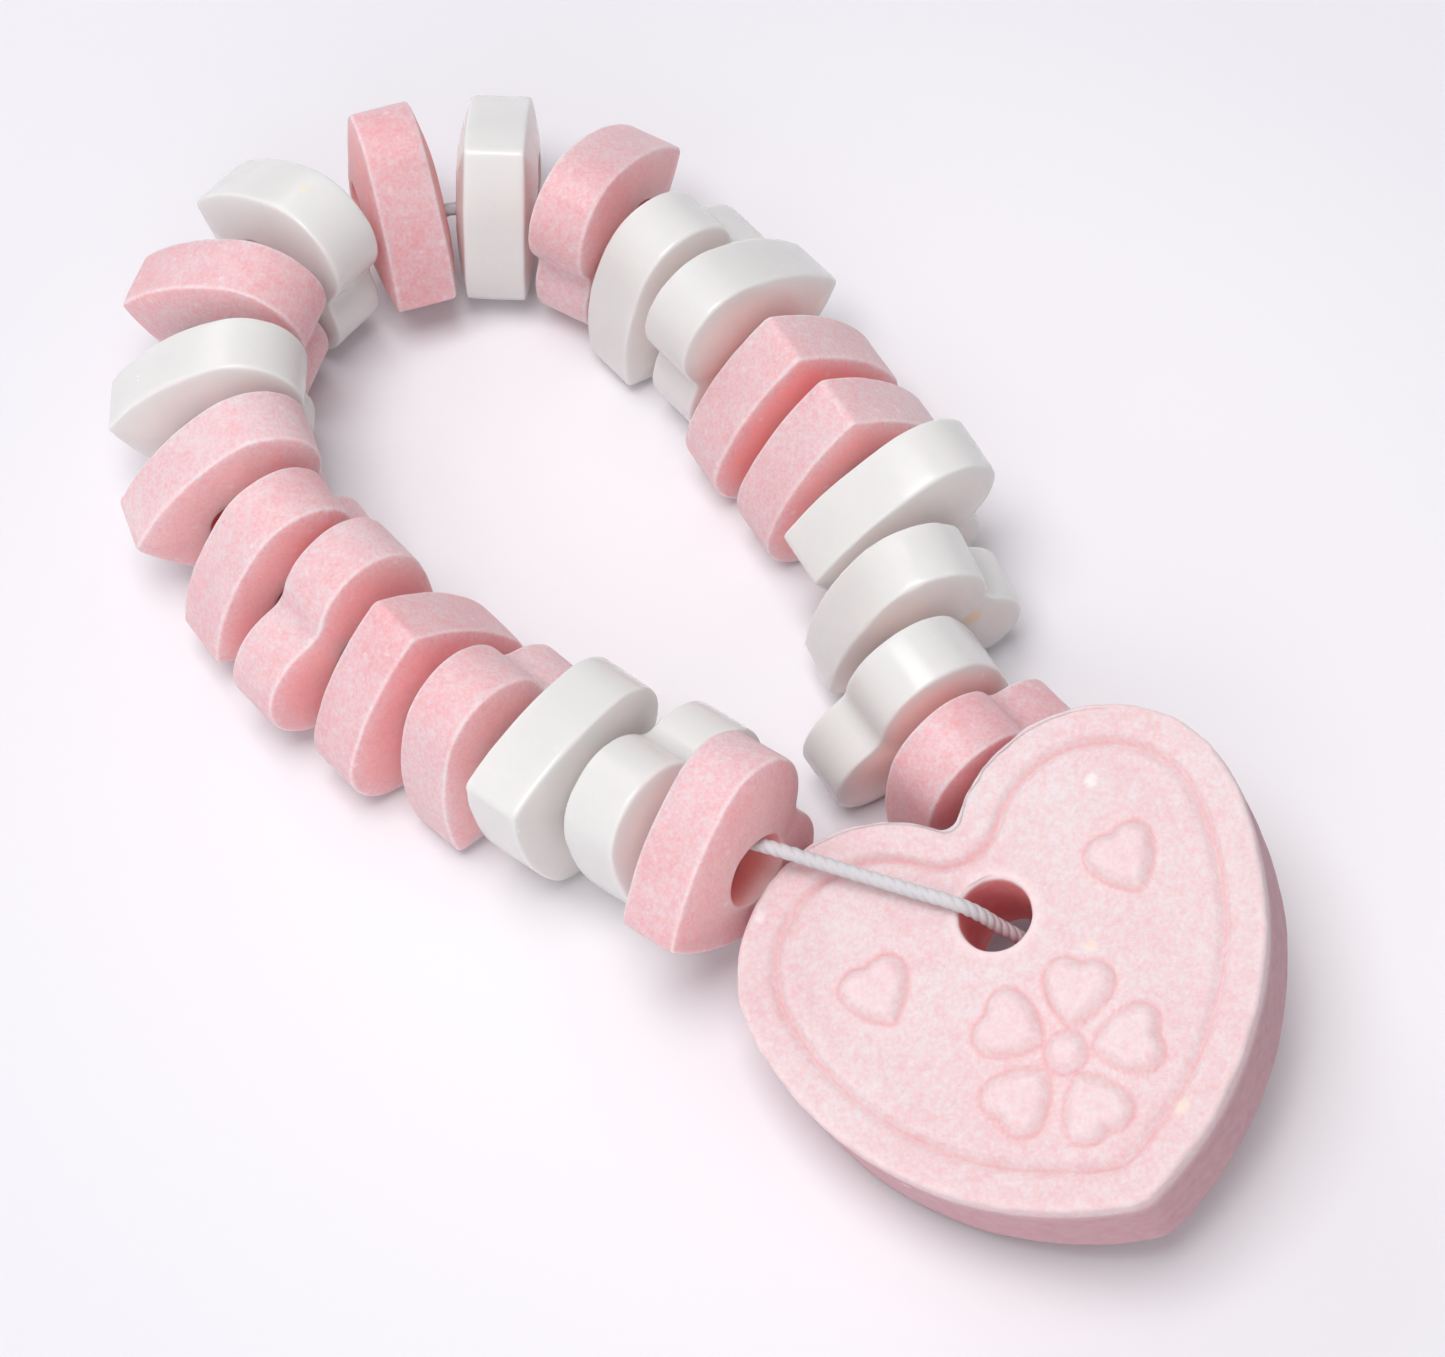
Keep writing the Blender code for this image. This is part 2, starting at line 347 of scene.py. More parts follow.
@dataclass(frozen=True)
class ThreadFinish:
    """Soft white fibre, with fine shade between the fibres and wider duller patches."""

    light: Colour = (0.65, 0.63, 0.65)
    shade: Colour = (0.49, 0.45, 0.48)
    fibre: float = 0.07 * MM
    fibre_share: float = 0.8
    patch: float = 1.1 * MM
    patch_share: float = 0.4
    rough: float = 0.7
    rough_swing: float = 0.2
    dents: float = 0.5
    dent_depth: float = 0.05 * MM
    sheen: float = 0.25
    sheen_rough: float = 0.5

    def material(self) -> Material:
        """Makes the material.

        Returns:
            The material.
        """
        graph = Graph("elastic_thread")
        fibre = graph.grain(self.fibre, rough=0.6)
        patch = graph.grain(self.patch, detail=1.0)
        dull = (fibre - NOISE_MIDDLE) * self.fibre_share + (patch - NOISE_MIDDLE) * self.patch_share
        return graph.shade({
            "Base Color": graph.mixed(self.light, self.shade, dull.clamped()),
            "Roughness": self.rough + fibre * self.rough_swing,
            "Normal": graph.dent(fibre, self.dents, self.dent_depth),
            "Sheen Weight": self.sheen,
            "Sheen Roughness": self.sheen_rough,
        })


@dataclass(frozen=True)
class PaperFinish:
    """The matt surface that the bracelet lies on, palest in the middle, where a pool of light is painted."""

    outer: Colour = (0.80, 0.79, 0.83)
    # painted light: the paler middle is a pool of light painted on the paper round the bracelet
    middle: Colour = (0.87, 0.85, 0.88)
    centre: Place = (12.0 * MM, -2.0 * MM, 0.0)
    radius: float = 66.0 * MM
    tooth: float = 0.5 * MM
    tooth_colour: Colour = (1.0, 1.0, 1.0)
    tooth_share: float = 0.03
    rough: float = 0.85
    rough_swing: float = 0.1
    shine: float = 0.1

    def material(self) -> Material:
        """Makes the material.

        Returns:
            The material.
        """
        graph = Graph("paper")
        tooth = graph.grain(self.tooth)
        # painted pool of light in the middle
        flat = graph.mixed(self.outer, self.middle, graph.spot(self.centre, self.radius))
        return graph.shade({
            "Base Color": graph.mixed(flat, self.tooth_colour, tooth * self.tooth_share),
            "Roughness": self.rough + tooth * self.rough_swing,
            "Specular IOR Level": self.shine,
        })


FINISHES = {
    Sugar.PINK: SugarFinish(
        deep=(0.78, 0.41, 0.44),
        pale=(0.78, 0.65, 0.67),
        # painted red glow in the holes and on faces between beads, where light shines through and bounces
        shade_glow_colour=(0.985, 0.38, 0.37),
        side_shade=(0.87, 0.44, 0.47),
        fleck=(0.88, 0.78, 0.79),
        worn=(0.88, 0.78, 0.79),
        crystal=0.22 * MM,
        mottle=0.6 * MM,
        contrast=1.15,
        fleck_cell=1.6 * MM,
        fleck_share=0.16,
        flecks=0.5,
        wear=0.6,
        rough=0.45,
        shine=0.35,
        dents=0.4,
        glow=0.9,
        reach=(3.0 * MM, 0.6 * MM, 0.55 * MM),
    ),
    Sugar.WHITE: SugarFinish(
        deep=(0.74, 0.735, 0.72),
        pale=(0.775, 0.77, 0.76),
        # painted pink glow in the holes and on faces, for light bounced from pink neighbours
        shade_glow_colour=(0.98, 0.78, 0.74),
        side_shade=(0.77, 0.76, 0.75),
        fleck=(0.83, 0.83, 0.82),
        worn=(0.83, 0.83, 0.82),
        crystal=0.16 * MM,
        mottle=0.9 * MM,
        contrast=0.6,
        fleck_cell=3.0 * MM,
        fleck_share=0.1,
        flecks=0.3,
        wear=0.6,
        rough=0.22,
        shine=0.5,
        dents=0.06,
        glow=0.55,
        reach=(1.3 * MM, 0.9 * MM, 0.85 * MM),
        stains=(
            Stain((-22.25 * MM, 26.75 * MM, 12.88 * MM), 0.4 * MM, (0.86, 0.74, 0.50)),
            Stain((17.3 * MM, 0.15 * MM, 6.7 * MM), 0.95 * MM, (0.88, 0.64, 0.40)),
        ),
    ),
    Sugar.PENDANT: SugarFinish(
        deep=(0.78, 0.53, 0.55),
        pale=(0.79, 0.71, 0.72),
        # painted shade in the groove, round the motif's foot and in the hole
        shade_glow_colour=(0.90, 0.30, 0.31),
        # painted shade on the side walls
        side_shade=(0.54, 0.275, 0.32),
        fleck=(0.90, 0.84, 0.84),
        worn=(0.87, 0.71, 0.72),
        crystal=0.28 * MM,
        mottle=0.8 * MM,
        contrast=1.3,
        fleck_cell=5.0 * MM,
        fleck_share=0.11,
        flecks=0.9,
        wear=0.9,
        rough=0.65,
        shine=0.15,
        dents=0.55,
        glow=0.6,
        reach=(0.7 * MM, 0.45 * MM, 0.42 * MM),
        stains=(
            Stain((26.96 * MM, -34.0 * MM, 12.38 * MM), 0.65 * MM, (0.86, 0.77, 0.65)),
            Stain((22.63 * MM, -24.57 * MM, 12.62 * MM), 0.5 * MM, (0.86, 0.77, 0.65)),
        ),
    ),
}


# Modelling steps


def lofted(name: str, rings: Sequence[Ring]) -> Object:
    """Lays a circle's points on a ring, extrudes it through the others and joins the last to the first.

    Args:
        name: The object's name.
        rings: The rings in order.

    Returns:
        The closed object, in edit mode.
    """
    bpy.ops.mesh.primitive_circle_add(vertices=len(rings[0]))
    obj = bpy.context.object
    obj.name = obj.data.name = name
    obj.data.vertices.foreach_set("co", rings[0].ravel())
    bpy.ops.object.mode_set(mode="EDIT")
    bpy.ops.mesh.select_all(action="SELECT")
    for before, ring in zip(rings, rings[1:]):
        bpy.ops.mesh.extrude_region_move()
        build = bmesh.from_edit_mesh(obj.data)
        for vertex in build.verts:
            if vertex.select:
                nearest = np.argmin(((before - np.array(vertex.co)) ** 2).sum(axis=1))
                vertex.co = ring[nearest]
        bmesh.update_edit_mesh(obj.data)
    bpy.context.tool_settings.mesh_select_mode = (False, True, False)
    select_edges(obj, lambda edge: edge.is_boundary)
    bpy.ops.mesh.bridge_edge_loops()
    bpy.ops.mesh.select_all(action="SELECT")
    bpy.ops.mesh.normals_make_consistent(inside=False)
    return obj


def select_edges(obj: Object, wanted: Callable[[BMEdge], bool]) -> None:
    """Selects edges in edit mode.

    Args:
        obj: The object, in edit mode.
        wanted: Says of an edge whether it is selected.
    """
    bpy.ops.mesh.select_all(action="DESELECT")
    build = bmesh.from_edit_mesh(obj.data)
    for edge in build.edges:
        edge.select_set(wanted(edge))
    bmesh.update_edit_mesh(obj.data)


def round_edges(obj: Object, wanted: Callable[[Vector], bool], radius: float, steps: int) -> None:
    """Rounds the edges with both ends in wanted places, in steps, with the bevel operator."""
    select_edges(obj, lambda edge: all(wanted(v.co) for v in edge.verts))
    bpy.ops.mesh.bevel(offset=radius, segments=steps)


def subdivide(obj: Object, levels: int) -> None:
    """Smooths the object with an applied Subdivision Surface.

    Args:
        obj: The object.
        levels: The levels.
    """
    bpy.ops.object.mode_set(mode="OBJECT")
    smooth = obj.modifiers.new("smooth", "SUBSURF")
    smooth.levels = levels
    bpy.ops.object.modifier_apply(modifier=smooth.name)
    bpy.ops.object.shade_smooth()


def rows_of(stored: Sequence, name: str) -> np.ndarray:
    """Reads a vector of each point.

    Args:
        stored: The mesh's points or their normals.
        name: The vector's name there.

    Returns:
        One row for each point.
    """
    flat = np.empty(len(stored) * 3)
    stored.foreach_get(name, flat)
    return flat.reshape(-1, 3)


def points_of(mesh: Mesh) -> np.ndarray:
    """The mesh's points, one row each."""
    return rows_of(mesh.vertices, "co")


def normals_of(mesh: Mesh) -> np.ndarray:
    """The mesh's point normals, one row each."""
    return rows_of(mesh.vertex_normals, "vector")


def move_points(mesh: Mesh, points: np.ndarray) -> None:
    """Puts the mesh's points in new places."""
    mesh.vertices.foreach_set("co", points.ravel())
    mesh.update()


def add_object(name: str, data: bpy.types.ID) -> Object:
    """Adds an object.

    Args:
        name: Its name.
        data: What it shows.

    Returns:
        The object.
    """
    obj = bpy.data.objects.new(name, data)
    bpy.context.collection.objects.link(obj)
    return obj


def placing(points: np.ndarray, rotation: Matrix, node: str) -> Matrix:
    """Where a model goes, so that its box is that of its node.

    Args:
        points: The model's points.
        rotation: How it is turned.
        node: The node that it stands for.

    Returns:
        The matrix that places the model.
    """
    turned = points @ np.array(rotation).T
    low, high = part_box(node)
    place = (low + high) / 2 - Vector((turned.min(0) + turned.max(0)) / 2)
    place.z = low.z - turned[:, 2].min()
    return Matrix.Translation(place) @ rotation.to_4x4()


def finish_mesh(mesh: Mesh, place: Matrix, node: str, material: Material) -> None:
    """Places a model's mesh, sets it down as low as its node and dresses it.

    Args:
        mesh: The mesh.
        place: The matrix that places the model.
        node: The node that it stands for.
        material: Its finish.
    """
    mesh.transform(place)
    mesh.transform(Matrix.Translation((0.0, 0.0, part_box(node)[0].z - points_of(mesh)[:, 2].min())))
    mesh.materials.append(material)


def store_tracks(mesh: Mesh, tracks: dict[Track, np.ndarray | float]) -> None:
    """Stores numbers at the points of the mesh for its finish.

    Args:
        mesh: The mesh.
        tracks: For each track one number for each point, or one for all of them, kept from 0 to 1.
    """
    for track, numbers in tracks.items():
        stored = mesh.attributes.new(track.value, "FLOAT", "POINT")
        spread = np.broadcast_to(np.clip(numbers, 0.0, 1.0), len(mesh.vertices))
        stored.data.foreach_set("value", spread.astype(np.float32))


def lumps_at(points: np.ndarray, size: float, seed: float) -> np.ndarray:
    """Soft noise of about -1 to 1 at points, with lumps of a size in metres and its own pattern by seed."""
    moved = points / size + seed * np.array(SEED_STEP)
    return np.array([noise.noise(Vector(row)) for row in moved])


def ease(numbers: np.ndarray) -> np.ndarray:
    """The smooth step from 0 to 1 of each number."""
    kept = np.clip(numbers, 0.0, 1.0)
    return kept * kept * (3.0 - 2.0 * kept)


def bell(away: np.ndarray, width: float) -> np.ndarray:
    """A bell curve of each number: 1 at 0, and near 0 from twice the width on."""
    return np.exp(-(away / width) ** 2)


# Hearts


@dataclass(frozen=True)
class Heart:
    """A heart drawn with arcs: two lobes, a rounded notch between them, two long sides and a rounded tip."""

    width: float
    height: float
    lobe_r: float
    side_r: float
    tip_r: float
    notch_r: float

    @staticmethod
    def arc(centre: Vector, radius: float, start: float, end: float, steps: int) -> list[Vector]:
        """As many points as steps along an arc from a start angle to an end angle, without the first."""
        angles = [start + (end - start) * i / steps for i in range(1, steps + 1)]
        return [centre + radius * Vector((math.cos(a), math.sin(a))) for a in angles]

    def outline(self, steps: Steps) -> np.ndarray:
        """The outline, clockwise from the bottom of the notch, with the lobes' centres on y = 0.

        Args:
            steps: The points of one half's notch, lobe, side and tip.

        Returns:
            The points, one row of x and y each.
        """
        lobe = Vector((self.width / 2 - self.lobe_r, 0.0))
        tip = Vector((0.0, self.lobe_r + self.tip_r - self.height))
        notch = Vector((0.0, math.sqrt((self.lobe_r + self.notch_r) ** 2 - lobe.x ** 2)))
        to_lobe = self.side_r - self.lobe_r
        to_tip = self.side_r - self.tip_r
        across = tip - lobe
        along = (to_lobe ** 2 - to_tip ** 2 + across.length_squared) / (2 * across.length)
        square = Vector((across.y, -across.x)).normalized()
        side = lobe + across.normalized() * along + square * math.sqrt(to_lobe ** 2 - along ** 2)

        from_notch = math.atan2(lobe.y - notch.y, lobe.x - notch.x)
        lobe_end = math.atan2(lobe.y - side.y, lobe.x - side.x)
        tip_start = math.atan2(tip.y - side.y, tip.x - side.x)
        half = [notch + Vector((0.0, -self.notch_r))]
        half += self.arc(notch, self.notch_r, -math.pi / 2, from_notch, steps[0])
        half += self.arc(lobe, self.lobe_r, from_notch + math.pi, lobe_end, steps[1])
        half += self.arc(side, self.side_r, lobe_end, tip_start, steps[2])
        half += self.arc(tip, self.tip_r, tip_start, -math.pi / 2, steps[3])
        whole = half + [Vector((-p.x, p.y)) for p in reversed(half[1:-1])]
        return np.array([tuple(p) for p in whole])


def depth_inside(points: np.ndarray, outline: np.ndarray) -> np.ndarray:
    """How far points lie inside a closed outline.

    Args:
        points: Rows of x and y.
        outline: The outline's points.

    Returns:
        The distance to the outline, under 0 outside it.
    """
    start = outline[None]
    edge = np.roll(outline, -1, axis=0)[None] - start
    to_point = points[:, None] - start
    share = np.clip((to_point * edge).sum(-1) / (edge ** 2).sum(-1), 0.0, 1.0)
    away = np.sqrt(((to_point - edge * share[..., None]) ** 2).sum(-1)).min(1)
    above = to_point[..., 1] >= 0
    crosses = above != np.roll(above, -1, axis=1)
    rise = np.where(crosses, edge[..., 1], 1.0)
    left = to_point[..., 0] < edge[..., 0] * to_point[..., 1] / rise
    inside = (crosses & left).sum(1) % 2 == 1
    return np.where(inside, away, -away)


def hole_ring(outline: np.ndarray, centre: np.ndarray, radius: float) -> np.ndarray:
    """The points of a round hole's edge, one on the way from its centre to each point of the outline."""
    out = outline - centre
    return centre + out * (radius / np.linalg.norm(out, axis=1))[:, None]


def at_height(flat: np.ndarray, height: float | np.ndarray) -> Ring:
    """Flat points at one height, or each at its own."""
    return np.column_stack((flat, np.broadcast_to(height, len(flat))))


@dataclass
class Piece:
    """A finished piece: where it belongs and how it is named and dressed."""

    obj: Object
    node: str
    slot: str

    def set_in_place(self) -> None:
        """Lets the piece stand for its node and ride on the body."""
        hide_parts(self.node)
        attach(self.obj, BODY)
        LOG.info("%s stands for %s: %d faces", self.obj.name, self.node, len(self.obj.data.polygons))


# The beads


@dataclass(frozen=True)
class Turn:
    """How one bead is turned, in degrees.

    Its tone goes from 0, deep, to 1, pale. Gloss makes it smoother, glow sets how strong the painted shade
    and red glow on its faces are, and chips scales the wear of its corners.
    """

    sugar: Sugar
    heading: float
    spin: float
    lean: float
    tone: float = 0.5
    gloss: float = 0.0
    # strength of the painted shade and red glow on the faces
    glow: float = 1.0
    chips: float = 1.0

    def rotation(self) -> Matrix:
        """Turns the hole's axis to the heading and the lean, after the spin about it.

        Returns:
            The whole turn.
        """
        upright = Matrix(((0, 0, 1), (1, 0, 0), (0, 1, 0)))
        heading = Matrix.Rotation(math.radians(self.heading), 3, "Z")
        lean = Matrix.Rotation(-math.radians(self.lean), 3, "Y")
        spin = Matrix.Rotation(math.radians(self.spin), 3, "Z")
        return heading @ lean @ upright @ spin


PINK, WHITE = Sugar.PINK, Sugar.WHITE
# each bead's glow is the strength of the painted shade and red glow on its faces
TURNS = (
    Turn(PINK, 141, 86, -10, 0.6, glow=0.5),
    Turn(WHITE, 140, 24, -11, glow=0.7),
    Turn(WHITE, 140, 125, -5, glow=0.3),
    Turn(PINK, 135, 45, -5, 0.6, glow=0.7),
    Turn(PINK, 130, 175, -5, 0.45),
    Turn(PINK, 130, 320, -5, 0.6),
    Turn(PINK, 125, 65, 0, 0.6),
    Turn(PINK, 110, 85, 0, 0.7, glow=0.5),
    Turn(WHITE, 90, 90, 0, glow=0.4),
    Turn(PINK, 70, 95, 5, 0.45, glow=0.0),
    Turn(WHITE, 50, 95, 0, glow=0.2),
    Turn(PINK, 17, 288, 1, 0.4),
    Turn(WHITE, -1, 199, -1, 1.0, glow=0.9),
    Turn(PINK, -30, 95, 0, 0.5, gloss=0.3, glow=0.8),
    Turn(WHITE, -50, 310, 0, glow=0.4),
    Turn(WHITE, -50, 95, 0, glow=1.3),
    Turn(PINK, -60, 185, 0, 0.6, glow=1.6),
    Turn(PINK, -60, 185, 0, 0.65, glow=1.3),
    Turn(WHITE, -60, 265, -5, glow=0.6),
    Turn(WHITE, -67.5, 300, -5, glow=0.6, chips=2.5),
    Turn(WHITE, -57.5, 60, -4.5, glow=2.0),
    Turn(PINK, -51, 325, 0, 0.35, gloss=0.35, glow=1.2),
)


@dataclass
class BeadString:
    """The small heart beads, one model copied and turned for each place."""

    heart: Heart = Heart(13.0 * MM, 12.0 * MM, 3.8 * MM, 14.5 * MM, 0.6 * MM, 1.4 * MM)
    rim: float = 3.65 * MM
    dome: float = 0.88 * MM
    hole_r: float = 2.2 * MM
    hole_drop: float = 1.5 * MM
    edge_r: float = 0.17 * MM
    hole_edge_r: float = 0.2 * MM
    unevenness: float = 0.05 * MM
    lump: float = 3.2 * MM
    sink: float = 0.3
    chips: float = 0.07 * MM
    chip: float = 0.9 * MM
    chip_top: float = 0.1
    worn_width: float = 0.13 * MM
    mouth_width: float = 0.2 * MM
    mouth_wear: float = 0.5
    # how far the painted shade and glow reach into the hole and over the faces, and how strong it is on the
    # faces
    hole_shade: float = 0.3 * MM
    face_shade: float = 0.4 * MM
    painted_face_glow: float = 0.5
    steps: Steps = (4, 16, 11, 4)
    face_shares: tuple[float, ...] = (1.0, 0.9, 0.76, 0.6, 0.44, 0.3, 0.15, 0.0)
    rim_shares: tuple[float, ...] = (-0.25, 0.0, 0.25)
    frames: list[Matrix] = field(default_factory=list)

    def outline(self) -> np.ndarray:
        """The heart's outline about the middle of the hole."""
        return self.heart.outline(self.steps) + np.array((0.0, self.hole_drop))

    def face(self, outline: np.ndarray) -> list[Ring]:
        """The rings of the upper face, from the rim to the hole.

        Args:
            outline: The outline about the hole.

        Returns:
            The rings.
        """
        hole = hole_ring(outline, np.zeros(2), self.hole_r)
        size = np.linalg.norm(outline, axis=1)
        rings = []
        for share in self.face_shares:
            flat = hole + (outline - hole) * share
            reach = np.linalg.norm(flat, axis=1) / size
            rings.append(at_height(flat, self.rim / 2 + self.dome * (1 - reach ** 2)))
        return rings

    def model(self) -> Object:
        """Models one bead about the middle of its hole.

        Returns:
            The bead, not yet turned or placed.
        """
        outline = self.outline()
        top = self.face(outline)
        bottom = [ring * np.array((1.0, 1.0, -1.0)) for ring in top]
        rim = [at_height(outline, self.rim * share) for share in self.rim_shares]
        wall = at_height(hole_ring(outline, np.zeros(2), self.hole_r), 0.0)
        obj = lofted("heart_bead", [wall, *reversed(bottom), *rim, *top])
        half = self.rim / 2

        def on_rim(place: Vector) -> bool:
            """Whether a place lies on the corner of the rim."""
            return abs(abs(place.z) - half) < NEAR

        def on_hole(place: Vector) -> bool:
            """Whether a place lies on the mouth of the hole."""
            return abs(place.xy.length - self.hole_r) < NEAR and abs(place.z) > half

        round_edges(obj, on_rim, self.edge_r, EDGE_STEPS)
        round_edges(obj, on_hole, self.hole_edge_r, MOUTH_STEPS)
        subdivide(obj, 1)
        return obj

    def wear(self, points: np.ndarray) -> np.ndarray:
        """How worn each point of the model is: most along the rim's corners, and some at the hole's.

        Args:
            points: The points about the middle of the hole.

        Returns:
            0 to 1 for each.
        """
        past_rim = np.abs(points[:, 2]) - self.rim / 2
        corner = np.hypot(depth_inside(points[:, :2], self.outline()), past_rim)
        mouth = np.hypot(points[:, 0], points[:, 1]) - self.hole_r
        at_mouth = self.mouth_wear * (past_rim > 0) * bell(mouth, self.mouth_width)
        return np.maximum(bell(corner, self.worn_width), at_mouth)

    def painted_shade_glow(self, points: np.ndarray, glow: float) -> np.ndarray:
        """How much painted shade and red glow each point of the model takes: most in the hole, and some on
        the faces.

        Args:
            points: The points about the middle of the hole.
            glow: How strong it is on the faces.

        Returns:
            A number for each, 1 where it is strongest.
        """
        # painted shade and glow: strongest inside the hole, and on the domed faces away from the rim
        in_hole = ease((self.hole_r - np.hypot(points[:, 0], points[:, 1])) / self.hole_shade + 1.0)
        on_face = ease((np.abs(points[:, 2]) - self.rim / 2) / self.face_shade)
        return np.maximum(in_hole, self.painted_face_glow * glow * on_face)

    def uneven(self, mesh: Mesh, wear: np.ndarray, seed: int, chips: float) -> None:
        """Gives a copy its own slight lumps and chipped corners.

        Args:
            mesh: The copy's mesh.
            wear: How worn each point is.
            seed: The bead's number.
            chips: How chipped its corners are.
        """
        points = points_of(mesh)
        rise = (lumps_at(points, self.lump, seed) - self.sink) * self.unevenness
        chipped = np.minimum(lumps_at(points, self.chip, seed + 0.5), self.chip_top)
        rise += chipped * self.chips * chips * wear
        move_points(mesh, points + normals_of(mesh) * rise[:, None])

    def build(self, materials: dict[Sugar, Material]) -> list[Piece]:
        """Makes every bead.

        Args:
            materials: The finishes.

        Returns:
            The pieces, in the thread's order.
        """
        model = self.model()
        points = points_of(model.data)
        wear = self.wear(points)
        pieces = []
        for number, turn in enumerate(TURNS, start=1):
            node = f"bead_{number:02d}"
            mesh = model.data.copy()
            mesh.name = f"heart_bead_{number:02d}"
            self.uneven(mesh, wear, number, turn.chips)
            store_tracks(mesh, {
                Track.WORN: wear,
                # painted shade and red glow in the hole and on the faces
                Track.PAINTED_SHADE_GLOW: self.painted_shade_glow(points, turn.glow),
                Track.TONE: turn.tone,
                Track.GLOSS: turn.gloss,
                Track.SKIN: 0.0,
            })
            place = placing(points, turn.rotation(), node)
            self.frames.append(place)
            finish_mesh(mesh, place, node, materials[turn.sugar])
            pieces.append(Piece(add_object(mesh.name, mesh), node, turn.sugar.value))
        bpy.data.objects.remove(model, do_unlink=True)
        return pieces


# The pendant


@dataclass(frozen=True)
class Band:
    """A soft band along a line: how far from the line its middle lies, its width and its strength."""

    middle: float
    width: float
    strength: float

    def at(self, away: np.ndarray) -> np.ndarray:
        """How deep places lie in the band, from their distance to the line."""
        return bell(away - self.middle, self.width)


@dataclass
class Pendant:
    """The large heart: a slab with a worn edge, a soft border groove and a raised flower of hearts, with
    painted shade in the groove, round the flower, in the hole and on the sides.
    """

    heart: Heart = Heart(29.95 * MM, 27.4 * MM, 8.15 * MM, 20.8 * MM, 2.5 * MM, 0.9 * MM)
    thick: float = 7.2 * MM
    hole_r: float = 2.0 * MM
    hole_drop: float = 0.9 * MM
    edge_r: float = 0.42 * MM
    hole_edge_r: float = 0.3 * MM
    heading: float = 113.3
    pitch: float = 1.8
    roll: float = 19.0
    groove_inset: float = 2.3 * MM
    groove_half: float = 0.29 * MM
    groove_depth: float = 0.46 * MM
    # painted shade along the groove
    line: Band = Band(-0.05 * MM, 0.13 * MM, 0.3)
    lips: tuple[Band, Band] = (Band(-1.05 * MM, 0.6 * MM, 0.06 * MM), Band(0.95 * MM, 0.5 * MM, 0.06 * MM))
    skirt: Band = Band(-0.12 * MM, 0.17 * MM, 0.06 * MM)
    skirt_shade: float = 0.3
    mouth: Band = Band(0.15 * MM, 0.4 * MM, 1.0)
    mouth_drop: float = 0.35 * MM
    # painted shade and red glow inside the hole
    mouth_shade: float = 0.25 * MM
    hole_fade: float = 0.4 * MM
    top_slope: tuple[float, float] = (0.3, 0.8)
    edge: Band = Band(0.0, 0.4 * MM, 0.6)
    edge_drop: float = 0.6 * MM
    motif_wear: float = 0.4
    # painted shade on the side walls, from just under the top edge down
    side_shade_top: float = 0.8 * MM
    side_shade_fade: float = 0.9 * MM
    side_shade: float = 0.8
    crumb: float = 1.1 * MM
    crumb_rise: float = 0.02 * MM
    crumb_edge_rise: float = 0.09 * MM
    swell: float = 5.0 * MM
    swell_rise: float = 0.06 * MM
    swell_drop: float = 0.04 * MM
    grit: float = 0.6 * MM
    grit_rise: float = 0.015 * MM
    seed: int = 31
    small_heart: Heart = Heart(3.8 * MM, 3.7 * MM, 1.1 * MM, 4.0 * MM, 0.3 * MM, 0.4 * MM)
    small_rise: float = 0.56 * MM
    small_shoulder: float = 0.85 * MM
    small_foot: float = 0.1 * MM
    flower: tuple[float, float] = (0.0, -9.9 * MM)
    petals: int = 5
    petal_out: float = 4.1 * MM
    centre_r: float = 1.1 * MM
    lobe_heart: tuple[float, float] = (7.6 * MM, -1.0 * MM)
    steps: Steps = (6, 32, 20, 6)
    coarse_steps: Steps = (4, 20, 14, 3)
    small_steps: Steps = (3, 10, 6, 2)
    top_rings: int = 17
    end_shares: tuple[float, float] = (0.03, 0.965)
    hole_shares: tuple[float, ...] = (0.66, 0.33, 0.0)
    side_shares: tuple[float, ...] = (0.0, 0.33, 0.67, 1.0)
    under_step: int = 6
    place: Matrix = field(default_factory=Matrix)

    def rotation(self) -> Matrix:
        """Turns the notch to the heading, pitches it up and rolls the right lobe up about the middle line.

        Returns:
            The whole turn.
        """
        heading = Matrix.Rotation(math.radians(self.heading - 90), 3, "Z")
        pitch = Matrix.Rotation(math.radians(self.pitch), 3, "X")
        return heading @ pitch @ Matrix.Rotation(-math.radians(self.roll), 3, "Y")

    def model(self) -> Object:
        """Models the plain slab with its hole, its top face at z = 0.

        Returns:
            The slab, not yet turned or placed.
        """
        outline = self.heart.outline(self.steps)
        centre = np.array((0.0, -self.hole_drop))
        hole = hole_ring(outline, centre, self.hole_r)
        floor = -self.thick
        shares = [i / self.top_rings for i in range(1, self.top_rings)]
        first, last = self.end_shares
        between = [hole + (outline - hole) * share for share in (first, *shares, last)]
        rings = [at_height(hole, floor * share) for share in self.hole_shares]
        rings += [at_height(flat, 0.0) for flat in between]
        rings += [at_height(outline, floor * share) for share in self.side_shares]
        rings += [at_height(flat, floor) for flat in reversed(between[:: self.under_step])]
        rings += [at_height(hole, floor)]
        obj = lofted("heart_pendant", rings)
        reach = {tuple(np.round(p / MM, 3)) for p in outline}

        def level(place: Vector) -> bool:
            """Whether a place lies in one of the two faces' planes."""
            return min(abs(place.z), abs(place.z - floor)) < NEAR

        def on_outline(place: Vector) -> bool:
            """Whether a place lies on the slab's outer corners."""
            return level(place) and (round(place.x / MM, 3), round(place.y / MM, 3)) in reach

        def on_mouth(place: Vector) -> bool:
            """Whether a place lies on the hole's mouths."""
            return level(place) and abs(math.hypot(place.x, place.y + self.hole_drop) - self.hole_r) < NEAR

        round_edges(obj, on_outline, self.edge_r, EDGE_STEPS)
        round_edges(obj, on_mouth, self.hole_edge_r, MOUTH_STEPS)
        subdivide(obj, 2)
        return obj

